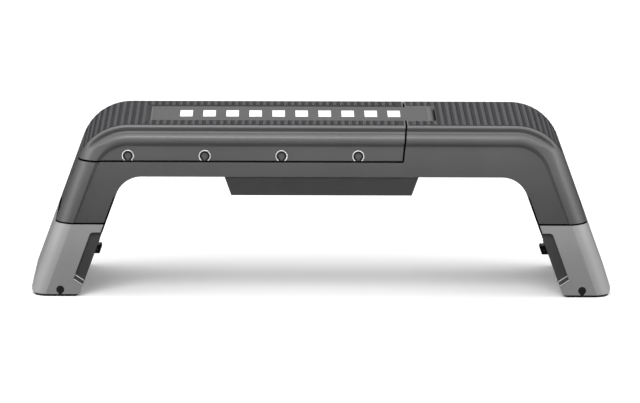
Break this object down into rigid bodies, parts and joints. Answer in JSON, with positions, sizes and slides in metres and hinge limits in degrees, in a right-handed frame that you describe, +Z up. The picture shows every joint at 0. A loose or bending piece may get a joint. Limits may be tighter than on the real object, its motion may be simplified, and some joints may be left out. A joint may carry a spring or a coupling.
{
  "type": "aerobic step",
  "caption": "Folding workout deck: a rubber-topped step on two slanted legs, with a hinged backrest lid, a storage tub and feet that fold inwards.",
  "frame": {"origin": "on the floor, under the middle of the deck, between the two feet", "axes": "+X along the deck towards the fixed seat end, +Y across it away from the front, +Z up"},
  "size_m": [1.1976, 0.35, 0.3556],
  "materials": {
    "shell_plastic": "satin moulded, dark grey",
    "tub_plastic": "satin moulded, darker grey",
    "tread_rubber": "ribbed herringbone tread",
    "panel_plastic": "smooth matte",
    "white_print": "matte white print",
    "foot_plastic": "satin moulded, light grey",
    "cover_plastic": "satin moulded, dark grey",
    "sole_rubber": "matte black",
    "catch_plastic": "semi-gloss black",
    "bush_plastic": "natural acetal",
    "bright_steel": "zinc plated",
    "painted_steel": "powder coated, dark grey"
  },
  "bodies": {
    "base": {"base_shell": "shell_plastic", "seat_mat": "tread_rubber", "storage_tub": "tub_plastic", "tub_screws": "bright_steel", "support_rack_front": "tub_plastic", "support_rack_rear": "tub_plastic", "hinge_rod": "bright_steel", "lid_buffers": "sole_rubber", "foot_shaft_left": "bright_steel", "foot_shaft_right": "bright_steel"},
    "backrest": {"backrest_shell": "shell_plastic", "backrest_mat": "tread_rubber", "centre_panel": "panel_plastic", "backrest_cover": "tub_plastic", "cover_screws": "bright_steel", "stiffener_tubes": "painted_steel", "prop_brackets": "painted_steel", "prop_pins": "bright_steel"},
    "prop": {"prop_frame": "painted_steel", "prop_sleeve": "catch_plastic"},
    "foot_left": {"foot_shell_left": "foot_plastic", "foot_cover_left": "cover_plastic", "foot_sole_left": "sole_rubber", "foot_bushes_left": "bush_plastic", "foot_screws_left": "bright_steel", "lock_spring_left": "bright_steel"},
    "foot_right": {"foot_shell_right": "foot_plastic", "foot_cover_right": "cover_plastic", "foot_sole_right": "sole_rubber", "foot_bushes_right": "bush_plastic", "foot_screws_right": "bright_steel", "lock_spring_right": "bright_steel"},
    "catch_left": {"lock_tab_left": "catch_plastic"},
    "catch_right": {"lock_tab_right": "catch_plastic"}
  },
  "joints": [
    {"name": "backrest_hinge", "type": "hinge", "parent": "base", "child": "backrest", "pos_m": [0.223, 0, 0.341], "axis": [0, 1, 0], "range_deg": [0, 70]},
    {"name": "prop_hinge", "type": "hinge", "parent": "backrest", "child": "prop", "pos_m": [0.083, 0, 0.319], "axis": [0, -1, 0], "range_deg": [0, 118.5]},
    {"name": "foot_fold_left", "type": "hinge", "parent": "base", "child": "foot_left", "pos_m": [-0.4424, 0, 0.22593], "axis": [0, -1, 0], "range_deg": [0, 110]},
    {"name": "foot_fold_right", "type": "hinge", "parent": "base", "child": "foot_right", "pos_m": [0.4424, 0, 0.22593], "axis": [0, 1, 0], "range_deg": [0, 110]},
    {"name": "catch_slide_left", "type": "slide", "parent": "foot_left", "child": "catch_left", "axis": [-0.342, 0, -0.9397], "range_m": [0, 0.005], "stiffness_N_per_m": 600, "springref_m": -0.002, "deforming": ["lock_spring_left"]},
    {"name": "catch_slide_right", "type": "slide", "parent": "foot_right", "child": "catch_right", "axis": [0.342, 0, -0.9397], "range_m": [0, 0.005], "stiffness_N_per_m": 600, "springref_m": -0.002, "deforming": ["lock_spring_right"]}
  ],
  "couplings": [
    {"joint": "prop_hinge", "follows": "backrest_hinge", "ratio": 1.69}
  ]
}
